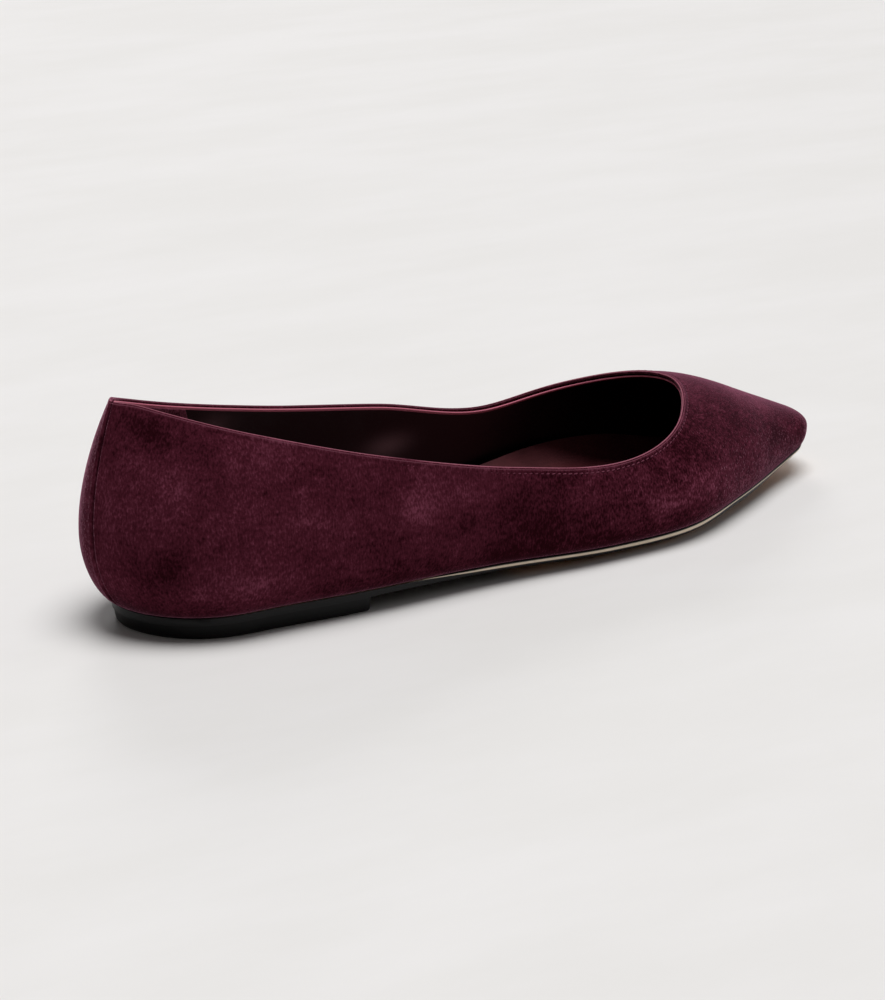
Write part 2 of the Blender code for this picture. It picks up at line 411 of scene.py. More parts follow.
def hump(share):
    """A soft bell, 1 at 0 and fading out past 2."""
    return np.exp(-share ** 2)


class Edge:
    """The collar's edge on the last, from the heel's back round the throat and back again."""

    def __init__(self):
        loop = Loop(foot_stations(60, 20, 200, 40))
        face = last_face(loop, collar_angle(loop))
        last_open = int(np.argmax(loop.x > THROAT - 1e-6))
        self.round_throat = last_open
        rim = list(range(last_open + 1)) + list(range(len(loop.x) - last_open + 1, len(loop.x)))
        self.station = loop.x[rim]
        self.points = face[-1][rim]
        self.outward = face_normals(face)[-1][rim]
        run = np.roll(self.points, -1, axis=0) - np.roll(self.points, 1, axis=0)
        self.run = run / np.linalg.norm(run, axis=1, keepdims=True)
        self.down = np.cross(self.run, self.outward)
        self.down /= np.linalg.norm(self.down, axis=1, keepdims=True)
        from_back = np.linalg.norm(self.points - self.points[0], axis=1)
        self.points = self.lowered(BACK_DIP * hump(from_back / BACK_DIP_REACH)[:, None])

    def lowered(self, amount):
        """The edge moved down the face of the last."""
        return self.points + self.down * amount

    def throat(self, amount):
        """Station of the lowered edge at the throat."""
        return self.lowered(amount)[self.round_throat, 0]

    def angle(self, loop, amount):
        """The collar angle of the lowered edge, for a loop that has a station at its throat."""
        moved = self.lowered(amount)
        station = np.maximum(moved[:, 0] - back_curve(self.station, moved[:, 2]), 0.0)
        turn = self.round_throat
        halves = (slice(0, turn + 1), np.r_[0, len(station) - 1:turn - 1:-1])
        angles = []
        for column, part in zip(("outer", "inner"), halves):
            x = station[part]
            widest = along(LAST, "widest", x)
            rise = along(LAST, "crest", x) - widest
            power = along(LAST, "fullness", x) / 2
            lift = np.clip((moved[part, 2] - widest) / rise, 0, 1) ** power
            forward = np.clip((x - SWING_START) / (LENGTH - SWING_START), 0, 1)
            across = np.abs(moved[part, 1] - TOE_SWING * forward ** 2) / along(LAST, column, x)
            level = np.clip(across, 0, 1) ** power
            angle = np.where(x > FRONT_START, np.arctan2(lift, level), np.arcsin(lift))
            angle[-1] = np.pi / 2
            throat = x[-1]
            reach = np.sqrt(np.maximum(throat - loop.x, 0.0))
            angles.append(np.interp(-reach, -np.sqrt(np.maximum(throat - x, 0.0)), angle))
        top = np.where(loop.side < 0, *angles)
        top[loop.x > throat - 1e-6] = np.pi / 2
        return top


def comb(face, count):
    """The same columns with points spaced by their length: fine steps under the top, then even ones."""
    columns = []
    for column in face.transpose(1, 0, 2)[:, ::-1]:
        lengths = np.linalg.norm(np.diff(column, axis=0), axis=1)
        run = np.concatenate([[0.0], np.cumsum(lengths)])
        fine = FINE_STEPS * min(1.0, run[-1] / FINE_REACH)
        at = np.concatenate([fine, np.linspace(fine[-1], run[-1], count + 1)[1:]])
        columns.append(np.column_stack([np.interp(at, run, column[:, axis]) for axis in range(3)]))
    return np.array(columns).transpose(1, 0, 2)[::-1]


def open_columns(loop, throat):
    """Indexes of the columns that end at the opening's edge, in order round it."""
    last_open = int(np.argmax(loop.x > throat - 1e-6))
    return list(range(last_open + 1)) + list(range(len(loop.x) - last_open + 1, len(loop.x)))


def wall_sheets(face, normals, rim, depth, thickness):
    """Sheets of a wall inside a face: its outside, a round upper edge, its inside and the lower edge."""
    outside = face - normals * depth
    inside = outside - normals * thickness
    centre = (outside[-1][rim] + inside[-1][rim]) / 2
    run = np.roll(centre, -1, axis=0) - np.roll(centre, 1, axis=0)
    up = np.cross(normals[-1][rim], run)
    up /= np.linalg.norm(up, axis=1, keepdims=True)
    edge = []
    for angle in np.linspace(0, np.pi, 9):
        edge.append(centre + (normals[-1][rim] * np.cos(angle) + up * np.sin(angle)) * thickness / 2)
    return outside, edge, inside[::-1], [inside[0], outside[0]]


def distances(points, line):
    """How many millimetres each point is from a line, which is filled in with points close together."""
    lengths = np.linalg.norm(np.diff(line, axis=0), axis=1)
    run = np.concatenate([[0.0], np.cumsum(lengths)])
    at = np.arange(0.0, run[-1], LINE_STEP)
    dense = np.column_stack([np.interp(at, run, line[:, axis]) for axis in range(line.shape[1])])
    tree = kdtree.KDTree(len(dense))
    for number, point in enumerate(dense):
        tree.insert(Vector(point), number)
    tree.balance()
    return np.array([tree.find(Vector(point))[2] for point in points])


def points_of(piece):
    """The piece's points in the last's own millimetres."""
    return np.array([vertex.co for vertex in piece.data.vertices]) / MM + ORIGIN


def note(piece, name, values):
    """Keeps a value for each point of the piece, which its material reads by name."""
    piece.data.attributes.new(name, "FLOAT", "POINT").data.foreach_set("value", values)


def soft_patches(points, table):
    """Soft oval patches by side (-1 is outer), station and height, added up at points of the shoe."""
    x, y, z = points.T
    forward = np.clip((x - SWING_START) / (LENGTH - SWING_START), 0, 1)
    side = np.where(y < TOE_SWING * forward ** 2, -1, 1)
    total = np.zeros(len(points))
    for patch_side, station, level, length, rise, amount in zip(*table.values()):
        total += (side == patch_side) * amount * hump((x - station) / length) * hump((z - level) / rise)
    return total


edge = Edge()
lining_throat = edge.throat(LINING_DROP)
lining_loop = Loop(foot_stations(24, 12, 70, 50, lining_throat, LINING_TOE), LINING_TOE)
lining_face = comb(last_face(lining_loop, edge.angle(lining_loop, LINING_DROP)), 30)
lining_normals = face_normals(lining_face)
lining_rim = open_columns(lining_loop, lining_throat)
lining = add_piece("lining", *wall_sheets(lining_face, lining_normals, lining_rim, LINING_DEPTH, LINING))
lining_line = lining_face[-1][lining_rim] - lining_normals[-1][lining_rim] * (LINING_DEPTH + LINING / 2)
lining_line = np.concatenate([lining_line, lining_line[:1]])
note(lining, "from_edge", distances(points_of(lining), lining_line))
# The painted highlights, kept at each point for the lining's material
note(lining, "wear_and_painted_shine", soft_patches(points_of(lining), PAINTED_SHINE_PATCHES))

LINING_BLACK = tint(9, 4, 5)
LINING_WORN = tint(17, 9, 11)
LINING_PAINTED_SHINE = tint(112, 88, 92)
RAW_EDGE = tint(206, 112, 134)
glazed = new_finish(lining, "lining_leather", {"Specular IOR Level": 0.5})
place = glazed.node("TexCoord", output="Object")
patches = between(cloud(place, 16.0, 3.0), 0.35, 0.7)
cells = between(pebble(place, 0.7), 0.0, 0.22)
from_edge = glazed.node("Attribute", {"attribute_name": "from_edge"}, output="Fac")
wear_and_painted_shine = glazed.node("Attribute", {"attribute_name": "wear_and_painted_shine"}, output="Fac")
raw = 1 - between(from_edge, 0.45, 0.65)
# Random worn patches on black, with the painted highlights laid over them
glaze = blend(wear_and_painted_shine, blend(patches, LINING_BLACK, LINING_WORN), LINING_PAINTED_SHINE)
glazed.fed({
    "Base Color": blend(raw, glaze, RAW_EDGE),
    "Roughness": 0.3 + patches * 0.08 + raw * 0.5,
    "Normal": relief(cells * 0.02 + cloud(place, 0.35) * 0.02),
})
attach(lining, "root")


# Heel grip: a piece of the upper's suede, flesh side out, glued inside the back of the heel to hold the foot.
# It runs from the lining's edge down beside the insole, and its front edge slants forward.
GRIP_DEPTH = 1.85
GRIP = 0.45
GRIP_TOP = 1.1
GRIP_FOOT = 0.6
GRIP_REACH = chart("share station", (0.0, 62.0), (0.35, 58.0), (0.7, 53.0), (1.0, 47.0))
GRIP_ROWS = 28
GRIP_COLUMNS = 30
GRIP_ROUND = 0.15


def grip_row(share):
    """One row of the grip on the last's face, from its inner front edge round the back to the outer one."""
    reach = np.interp(share, GRIP_REACH["share"], GRIP_REACH["station"])
    turn = np.linspace(0, 1, GRIP_COLUMNS)
    near = reach * turn ** 2 * (3 - 2 * turn) * 0.35 + reach * turn ** 2 * 0.65
    loop = Loop(np.concatenate([near, np.linspace(reach + 6, THROAT + GRIP_TOP, 20), [230.0, LENGTH]]))
    face = last_face(loop, edge.angle(loop, GRIP_TOP))
    normals = face_normals(face)
    outer_columns = np.arange(GRIP_COLUMNS)
    inner_columns = len(loop.x) - outer_columns[:0:-1]
    columns = np.concatenate([inner_columns, outer_columns])
    row = []
    for column in columns:
        foot = along(LAST, "feather", loop.x[column]) + GRIP_FOOT
        height = foot + (face[-1, column, 2] - foot) * share
        heights = face[:, column, 2]
        point = np.array([np.interp(height, heights, face[:, column, axis]) for axis in range(3)])
        way = np.array([np.interp(height, heights, normals[:, column, axis]) for axis in range(3)])
        row.append(point - way * GRIP_DEPTH)
    return np.array(row)


def add_patch(name, rows):
    """A smooth piece of quads between open rows of points."""
    points = (np.concatenate(rows) - ORIGIN) * MM
    width = len(rows[0])
    corners = np.arange(len(points)).reshape(len(rows), width)
    faces = np.stack([corners[:-1, :-1], corners[:-1, 1:], corners[1:, 1:], corners[1:, :-1]], axis=-1)
    data = bpy.data.meshes.new(name)
    data.from_pydata(points, [], faces.reshape(-1, 4).tolist())
    data.shade_smooth()
    piece = bpy.data.objects.new(name, data)
    bpy.context.collection.objects.link(piece)
    return piece


def brushed(place, tone, ruffle=1.0):
    """Nap of brushed suede on a tone from 0 to 1: clouds, marks, flecks and fuzz. Gives shade and bump."""
    combed = place.node("Mapping", {}, {"Vector": place, "Scale": (0.6, 0.8, 1.2)}, "Vector")
    clouds = cloud(place, 22.0, 2.0, 0.5, 0.5) - 0.5
    marks = cloud(combed, 7.0, 2.0, 0.5, 0.6) - 0.5
    flecks = cloud(combed, 1.6, 2.0, 0.6) - 0.5
    lying = place.node("Mapping", {}, {"Vector": place, "Scale": (1.0, 1.0, 0.5)}, "Vector")
    fuzz = cloud(lying, 0.5, 1.0, 0.5) - 0.5
    shade = tone + clouds * 0.5 + (marks * 0.65 + flecks * 0.75 + fuzz * 1.3) * ruffle
    height = fuzz * 0.28 + flecks * 0.14
    return shade, height


grip = add_patch("heel_grip", [grip_row(share) for share in np.linspace(0, 1, GRIP_ROWS)])
thickness = grip.modifiers.new("thickness", "SOLIDIFY")
thickness.thickness = GRIP * MM
thickness.offset = -1.0
rounded = grip.modifiers.new("rounded edge", "BEVEL")
rounded.width = GRIP_ROUND * MM
rounded.segments = 2
rounded.limit_method = "ANGLE"

GRIP_TONE = 0.5
GRIP_DARK = tint(64, 20, 31)
GRIP_LIGHT = tint(132, 66, 86)
SHEEN_TINT = (1.0, 0.46, 0.62, 1.0)
flesh_side = new_finish(grip, "grip_suede", {
    "Specular IOR Level": 0.1,
    "Roughness": 0.95,
    "Sheen Weight": 0.2,
    "Sheen Roughness": 0.3,
    "Sheen Tint": SHEEN_TINT,
})
place = flesh_side.node("TexCoord", output="Object")
shade, height = brushed(place, GRIP_TONE)
flesh_side.fed({
    "Base Color": blend(between(shade, 0.0, 1.0), GRIP_DARK, GRIP_LIGHT),
    "Normal": relief(height),
})
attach(grip, "root")


# Upper: one piece of wine-coloured brushed suede, closed by a seam down the centre of the heel's back. Its
# upper edge is folded over and stitched, and its lower edge is drawn over the last and turned in.
SUEDE = 0.95
TURN_IN = 7.0
TOE_TURN_IN = 2.5
TOE_TURN_START = 225.0
SEAM_GROOVE = 0.38
SEAM_GROOVE_WIDTH = 0.4
SEAM_LIP = 0.2
SEAM_LIP_PLACE = 1.2
SEAM_LIP_WIDTH = 0.7
STITCH_LINE = 1.7
BAND_SWELL = 0.16
BAND_SWELL_WIDTH = 0.7
BAND_GROOVE = 0.2
BAND_GROOVE_WIDTH = 0.32
QUARTER_BAND = 0.3
BAND_START = 100.0
BAND_END = 180.0

# Soft troughs and ridges in the suede, by side (-1 is outer): where the heel's stiffener ends, where the foot
# bends the sides at the ball, and where the toe puff ends. Slope is degrees up from the foot's line.
FOLDS = chart(
    "side station height slope length width depth",
    (-1, 73.0, 24.0, 70.0, 17.0, 4.5, -0.22),
    (1, 75.0, 24.0, 70.0, 17.0, 4.5, -0.22),
    (-1, 82.0, 27.0, 20.0, 16.0, 4.0, 0.22),
    (-1, 128.0, 18.0, 62.0, 9.0, 4.0, -0.2),
    (-1, 139.0, 17.0, 66.0, 9.0, 4.0, 0.16),
    (1, 130.0, 20.0, 58.0, 10.0, 4.5, -0.2),
    (1, 142.0, 19.0, 62.0, 10.0, 4.5, 0.16),
    (-1, 30.0, 14.0, 55.0, 8.0, 4.0, 0.18),
    (-1, 170.0, 13.0, 14.0, 18.0, 3.5, 0.2),
    (1, 172.0, 14.0, 10.0, 18.0, 3.5, 0.18),
    (-1, 226.0, 17.0, 75.0, 9.0, 5.0, -0.14),
    (1, 228.0, 17.0, 75.0, 9.0, 5.0, -0.14),
)

# Where the nap lies light or dark, by side, as soft oval patches. The thin light band high on the toe's outer
# side is a painted highlight, and just above the sole the suede is darkened with painted shade
SOLE_PAINTED_SHADE = -0.45
SOLE_PAINTED_SHADE_RISE = 9.0
NAP = chart(
    "side station height length rise tone",
    (-1, 10.0, 54.5, 4.5, 5.0, -0.6),
    (-1, 19.0, 50.0, 4.0, 4.0, -0.3),
    (-1, 11.0, 41.0, 6.0, 7.0, 0.2),
    (-1, 8.0, 18.5, 5.0, 5.5, -0.4),
    (-1, 30.0, 13.5, 5.0, 4.0, 0.4),
    (-1, 46.0, 28.5, 8.0, 3.5, 0.3),
    (-1, 79.0, 14.0, 14.0, 4.0, -0.2),
    (-1, 81.0, 26.5, 7.0, 4.5, 0.6),
    (-1, 93.0, 27.5, 6.0, 4.0, 0.3),
    (-1, 97.0, 19.5, 4.0, 4.0, -0.35),
    (-1, 119.0, 17.0, 14.0, 7.0, -0.35),
    (-1, 140.0, 11.0, 14.0, 4.0, -0.2),
    (-1, 166.0, 13.5, 10.0, 3.5, 0.35),
    (-1, 184.0, 16.0, 10.0, 4.0, 0.35),
    (-1, 176.0, 26.5, 14.0, 5.0, -0.35),
    (-1, 206.0, 27.0, 10.0, 4.0, -0.35),
    # A painted highlight: the thin light band along the top of the toe's outer side
    (-1, 218.0, 29.5, 12.0, 2.5, 0.3),
    (-1, 232.0, 17.0, 7.0, 3.5, -0.6),
    (1, 10.0, 44.0, 10.0, 10.0, -0.4),
    (1, 34.0, 24.0, 14.0, 8.0, 0.35),
    (1, 62.0, 32.0, 12.0, 5.0, -0.35),
    (1, 86.0, 22.0, 15.0, 5.0, 0.4),
    (1, 118.0, 20.0, 13.0, 8.0, -0.35),
    (1, 150.0, 15.0, 15.0, 5.0, 0.35),
    (1, 186.0, 20.0, 14.0, 6.0, -0.3),
    (1, 214.0, 26.0, 13.0, 6.0, 0.3),
)


def fold_relief(x, side, z):
    """Height of the listed folds at points of the face."""
    height = np.zeros_like(z)
    for fold_side, station, level, slope, length, width, depth in zip(*FOLDS.values()):
        turn = np.radians(slope)
        ahead = (x - station) * np.cos(turn) + (z - level) * np.sin(turn)
        aside = (z - level) * np.cos(turn) - (x - station) * np.sin(turn)
        height += (side == fold_side) * depth * hump(ahead / length) * hump(aside / width)
    return height


def nap_tone_with_painted_shade(points):
    """Lightness of the suede at points of the upper: its listed patches, and painted shade just above the
    sole.
    """
    above_sole = points[:, 2] - along(LAST, "feather", np.clip(points[:, 0], 0, LENGTH))
    # Painted shade: the suede is made darker over the first millimetres above the sole
    return soft_patches(points, NAP) + SOLE_PAINTED_SHADE * (1 - ease(above_sole, 0.0, SOLE_PAINTED_SHADE_RISE))


suede_throat = edge.throat(SUEDE / 2)
suede_loop = Loop(foot_stations(34, 18, 100, 80, suede_throat, seam=1.6))
suede_face = comb(last_face(suede_loop, edge.angle(suede_loop, SUEDE / 2)), 50)
turn_in = TURN_IN + (TOE_TURN_IN - TURN_IN) * ease(suede_loop.x, TOE_TURN_START, LENGTH)
turned_rows = []
for share in (1, 0.66, 0.33):
    turned_rows.append(np.column_stack([suede_loop.offset(-turn_in * share), suede_loop.feather]))
suede_face = np.concatenate([turned_rows, suede_face])
suede_normals = face_normals(suede_face)

row_steps = np.linalg.norm(np.diff(suede_face, axis=1, append=suede_face[:, :1]), axis=2)
from_seam = np.cumsum(row_steps, axis=1) - row_steps
from_seam = np.minimum(from_seam, row_steps.sum(axis=1, keepdims=True) - from_seam)
seam = SEAM_LIP * hump((from_seam - SEAM_LIP_PLACE) / SEAM_LIP_WIDTH)
seam -= SEAM_GROOVE * hump(from_seam / SEAM_GROOVE_WIDTH)
near_seam = 1 - ease(suede_loop.x, 4.0, 9.0)

rim_line = np.concatenate([edge.points, edge.points[:1]])
from_rim = distances(suede_face.reshape(-1, 3), rim_line).reshape(suede_face.shape[:2])
band = BAND_SWELL * hump((from_rim - STITCH_LINE / 2) / BAND_SWELL_WIDTH)
band -= BAND_GROOVE * hump((from_rim - STITCH_LINE) / BAND_GROOVE_WIDTH)
band *= QUARTER_BAND + (1 - QUARTER_BAND) * ease(suede_loop.x, BAND_START, BAND_END)
folds = fold_relief(suede_loop.x, suede_loop.side, suede_face[..., 2])
above_feather = ease(suede_face[..., 2] - suede_loop.feather, 0.0, 4.0)
swell = (seam * near_seam + folds) * above_feather + band
suede_face = suede_face + suede_normals * swell[..., None]
suede_rim = open_columns(suede_loop, suede_throat)
upper = add_piece("suede_upper", *wall_sheets(suede_face, suede_normals, suede_rim, 0.0, SUEDE))
note(upper, "from_rim", distances(points_of(upper), rim_line))
note(upper, "nap_with_painted_shade", nap_tone_with_painted_shade(points_of(upper)))
seam_line = np.array([(back_curve(0.0, z), 0.0, z) for z in np.arange(6.0, BACK_HEIGHT, 0.2)])
note(upper, "from_seam", distances(points_of(upper), seam_line))

NAP_TONE = 0.45
NAP_DEPTH = 0.75
RIM_PAINTED_HIGHLIGHT = 0.2
QUARTER_CHANNEL = 0.05
THROAT_CHANNEL = 0.25
SEAM_PAINTED_SHADE = 0.85
WAIST_START = 70.0
WAIST_END = 110.0
FOREPART_PAINTED_SHADE = 0.13
CALM_NAP = 0.85
RUFFLED_NAP = 1.45
RUFFLE_START = 105.0
RUFFLE_END = 185.0
SUEDE_DARK = tint(40, 10, 17)
SUEDE_MID = tint(76, 29, 42)
SUEDE_LIGHT = tint(120, 60, 79)
FOLD_PINK_AND_PAINTED_HIGHLIGHT = tint(158, 98, 112)
CROWN_PAINTED_HIGHLIGHT = tint(112, 64, 78)
GROOVE_PAINTED_SHADE = tint(24, 4, 9)
GRAZING_PAINTED_SHEEN = tint(164, 104, 128)
suede = new_finish(upper, "suede", {
    "Specular IOR Level": 0.0,
    "Roughness": 0.95,
    "Sheen Weight": 0.55,
    "Sheen Roughness": 0.12,
    "Sheen Tint": SHEEN_TINT,
})
place = suede.node("TexCoord", output="Object")
nap_with_painted_shade = suede.node("Attribute", {"attribute_name": "nap_with_painted_shade"}, output="Fac")
from_rim_wire = suede.node("Attribute", {"attribute_name": "from_rim"}, output="Fac")
from_seam_wire = suede.node("Attribute", {"attribute_name": "from_seam"}, output="Fac")
# Painted highlight: the folded band along the rim is made lighter, as its roll catches the light from above
rim_highlight = 1 - between(from_rim_wire, 0.6, 1.6)
station = place.node("SeparateXYZ", {}, {0: place}, "X") * (1 / MM) + LENGTH / 2
ruffle = CALM_NAP + between(station, RUFFLE_START, RUFFLE_END) * (RUFFLED_NAP - CALM_NAP)
tone = NAP_TONE + nap_with_painted_shade * NAP_DEPTH + rim_highlight * RIM_PAINTED_HIGHLIGHT
# Painted shade: the suede forward of the waist is made darker, evening out the light on the forepart
tone = tone - between(station, WAIST_START, WAIST_END) * FOREPART_PAINTED_SHADE
shade, height = brushed(place, tone, ruffle)
colour = blend(between(shade, -0.15, 0.55), SUEDE_DARK, SUEDE_MID)
colour = blend(between(shade, 0.4, 1.2), colour, SUEDE_LIGHT)
# Painted shade in the grooves: along the stitch channel, deeper round the throat, and down the back seam
channel = between(from_rim_wire, 1.0, 1.4) * (1 - between(from_rim_wire, 1.8, 2.2))
at_throat = between(station, BAND_START, BAND_END)
channel_painted_shade = QUARTER_CHANNEL + at_throat * (THROAT_CHANNEL - QUARTER_CHANNEL)
colour = blend(channel * channel_painted_shade, colour, GROOVE_PAINTED_SHADE)
seam_shade = 1 - between(from_seam_wire, 0.2, 0.6)
colour = blend(seam_shade * SEAM_PAINTED_SHADE, colour, GROOVE_PAINTED_SHADE)
# The fold's very edge is a paler pink, partly its own colour and partly a painted highlight; the inner top of
# its round is painted lighter as a highlight
fold = 1 - between(from_rim_wire, 0.2, 0.26)
crown = between(from_rim_wire, 0.55, 0.62) * (1 - between(from_rim_wire, 0.75, 0.85))
colour = blend(crown, blend(fold, colour, FOLD_PINK_AND_PAINTED_HIGHLIGHT), CROWN_PAINTED_HIGHLIGHT)
# Painted sheen: the colour turns pale pink where the suede is seen at a grazing angle
painted_sheen = suede.node("LayerWeight", {}, {"Blend": 0.5}, "Facing") ** 6
colour = blend(painted_sheen * 0.7, colour, GRAZING_PAINTED_SHEEN)
suede.fed({"Base Color": colour, "Normal": relief(height)})
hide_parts("upper")
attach(upper, "root")


# Collar stitches: a row of lockstitch in mauve thread that holds the folded edge and the lining. It shows
# round the throat and sinks into the nap along the quarters.
STITCH_PITCH = 1.9
STITCH_LENGTH = 1.4
STITCH_RISE = 0.12
THREAD = 0.36
STITCH_SINK = 0.1
SIDE_SINK = 0.3
SIDE_SINK_START = 70.0
SIDE_SINK_END = 170.0
STITCH_SLANT = np.radians(7)
STITCH_SIDES = 8
STITCH_RINGS = np.linspace(0, 1, 7)

stitch_path = edge.lowered(STITCH_LINE)
path_steps = np.linalg.norm(np.diff(stitch_path, axis=0, append=stitch_path[:1]), axis=1)
path_run = np.concatenate([[0.0], np.cumsum(path_steps)])
stitch_count = int(path_run[-1] / STITCH_PITCH)
stitches = bmesh.new()
for centre_run in (np.arange(stitch_count) + 0.5) * path_run[-1] / stitch_count:
    frame_at = []
    for values in (stitch_path, edge.run, edge.outward):
        closed = np.concatenate([values, values[:1]])
        frame_at.append(np.array([np.interp(centre_run, path_run, closed[:, axis]) for axis in range(3)]))
    centre, run, outward = frame_at
    sink = STITCH_SINK + SIDE_SINK * (1 - ease(centre[0], SIDE_SINK_START, SIDE_SINK_END))
    across = np.cross(outward, run)
    run = run * np.cos(STITCH_SLANT) + across * np.sin(STITCH_SLANT)
    across = np.cross(outward, run)
    rings = []
    for share in STITCH_RINGS:
        radius = THREAD / 2 * np.sqrt(max(1 - (2 * share - 1) ** 4, 0.02))
        middle = centre + run * (share - 0.5) * STITCH_LENGTH
        middle = middle + outward * (STITCH_RISE * np.sin(np.pi * share) - sink)
        turns = np.arange(STITCH_SIDES) * 2 * np.pi / STITCH_SIDES
        ring = [middle + (across * np.cos(turn) + outward * np.sin(turn)) * radius for turn in turns]
        rings.append([stitches.verts.new((point - ORIGIN) * MM) for point in ring])
    for low, high in zip(rings, rings[1:]):
        for k in range(STITCH_SIDES):
            after = (k + 1) % STITCH_SIDES
            stitches.faces.new((low[k], low[after], high[after], high[k]))
    stitches.faces.new(rings[0][::-1])
    stitches.faces.new(rings[-1])
stitch_mesh = bpy.data.meshes.new("collar_stitches")
stitches.to_mesh(stitch_mesh)
stitches.free()
stitch_mesh.shade_smooth()
stitch_row = bpy.data.objects.new("collar_stitches", stitch_mesh)
bpy.context.collection.objects.link(stitch_row)

THREAD_DARK = tint(86, 38, 52)
THREAD_LIGHT = tint(126, 70, 88)
thread = new_finish(stitch_row, "thread", {"Roughness": 0.8, "Specular IOR Level": 0.05})
place = thread.node("TexCoord", output="Object")
strands = cloud(place, 0.25, 2.0)
thread.fed({
    "Base Color": blend(between(strands, 0.3, 0.7), THREAD_DARK, THREAD_LIGHT),
    "Normal": relief(strands * 0.05),
})
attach(stitch_row, "root")


# Outsole: one thin sheet of natural leather, cemented under the turned-in upper. Heel and waist are inked
# black with their edge. At the forefoot the trimmed edge keeps a natural band, black below it and darker
# toward the toe, under a thin dark line of painted shade where it meets the upper.
SOLE_EDGE = 1.9
SOLE_TOE_EDGE = 0.9
PARING_START = 210.0
PARING_END = 252.0
SOLE_BEVEL = 0.6
BEVEL_RUN_OUT = 6.0
SEAT_SQUARE = 0.85
SOLE_LIP = 0.4
SOLE_BEVEL_SHARE = 0.97
SOLE_TOP_ROUND = 0.12
GROUND_ROUND = 0.15
CROWN = chart(
    "station depth",
    (0.0, 0.0),
    (70.0, 0.0),
    (110.0, 1.2),
    (150.0, 2.4),
    (180.0, 2.4),
    (215.0, 1.0),
    (262.0, 0.3),
)


def sole_ring(loop, pair, edge_line):
    """Section of the sole: rounded edges, and an underside that bellies down to the ground."""
    outer, inner = pair
    top = loop.feather[outer] - GAP
    crown = along(CROWN, "depth", loop.x[outer])
    pared = ease(loop.x[outer], PARING_START, PARING_END)
    edge_height = SOLE_EDGE + (SOLE_TOE_EDGE - SOLE_EDGE) * pared

    def underside(q):
        low = top - edge_height - crown * (1 - q * q)
        return (low + np.sqrt(low * low + GROUND_ROUND ** 2)) / 2

    half = [(0.994, top), (1.0, top - SOLE_TOP_ROUND)]
    over_heel = 1 - ease(loop.x[outer], BREAST, BREAST + BEVEL_RUN_OUT)
    bevel = SOLE_BEVEL * edge_height / SOLE_EDGE * (1 - SEAT_SQUARE * over_heel)
    rim = top - edge_height + bevel
    low = underside(SOLE_BEVEL_SHARE)
    for angle in np.linspace(0, np.pi / 2, 6):
        q = SOLE_BEVEL_SHARE + (1 - SOLE_BEVEL_SHARE) * np.cos(angle)
        half.append((q, rim + (low - rim) * np.sin(angle)))
    for q in np.linspace(SOLE_BEVEL_SHARE, 0, 15)[1:]:
        half.append((q, underside(q)))
    steps = [(-q, z) for q, z in half] + half[-2::-1]
    return lay_across(edge_line[outer], edge_line[inner], steps)


sole_line = bottom.offset(SOLE_LIP)
outsole = add_piece("leather_outsole", [sole_ring(bottom, pair, sole_line) for pair in bottom.pairs()])
sole_points = points_of(outsole)
flat_points = sole_points * np.array([1.0, 1.0, 0.0])
flat_line = np.column_stack([sole_line, np.zeros(len(sole_line))])
note(outsole, "inward", distances(flat_points, np.concatenate([flat_line, flat_line[:1]])))
sole_top = along(LAST, "feather", np.clip(sole_points[:, 0], 0.0, LENGTH)) - GAP
note(outsole, "below_top", sole_top - sole_points[:, 2])

INK_START = 76.0
INK_END = 118.0
TOE_DARKENING_START = 182.0
TOE_DARKENING_END = 206.0
TOE_DARKENING = 0.7
TIP_START = 244.0
TIP_END = 254.0
NATURAL_BAND = 0.65
BALL_BAND = 0.15
BALL_START = 135.0
BALL_END = 165.0
CREASE_SHADE_START = 80.0
CREASE_SHADE_END = 104.0
CREASE_PAINTED_SHADE = 0.4
WAIST_INK_START = 118.0
WAIST_INK_END = 119.0
SOLE_LIGHT = tint(196, 142, 92)
SOLE_DARK = tint(158, 104, 60)
EDGE_LIGHT = tint(255, 238, 214)
INK_AND_PAINTED_SHADE = tint(17, 17, 18)
sole_leather = new_finish(outsole, "sole_leather", {"Specular IOR Level": 0.2})
place = sole_leather.node("TexCoord", output="Object")
station = place.node("SeparateXYZ", {}, {0: place}, "X") * (1 / MM) + LENGTH / 2
inward_wire = sole_leather.node("Attribute", {"attribute_name": "inward"}, output="Fac")
below_wire = sole_leather.node("Attribute", {"attribute_name": "below_top"}, output="Fac")
fibres = place.node("Mapping", {}, {"Vector": place, "Scale": (1.0, 1.0, 5.0)}, "Vector")
grain = cloud(fibres, 0.6, 4.0, 0.6)
patches = cloud(place, 18.0, 4.0, 0.6)
on_edge = 1 - between(inward_wire, 1.6, 2.2)
band = NATURAL_BAND + between(station, BALL_START, BALL_END) * BALL_BAND
# Toward the toe the natural band narrows and the edge is darker, until the very tip
toe_darkening = between(station, TOE_DARKENING_START, TOE_DARKENING_END) * (1 - between(station, TIP_START, TIP_END))
band = band * between(station, INK_START, INK_END) * (1 - toe_darkening * TOE_DARKENING)
# Painted shade: a thin dark line along the top of the edge, where the upper meets the sole
crease_shade = between(station, CREASE_SHADE_START, CREASE_SHADE_END) * CREASE_PAINTED_SHADE
under_band = between(below_wire - crease_shade - band, -0.1, 0.1)
over_band = 1 - between(below_wire - crease_shade, -0.1, 0.1)
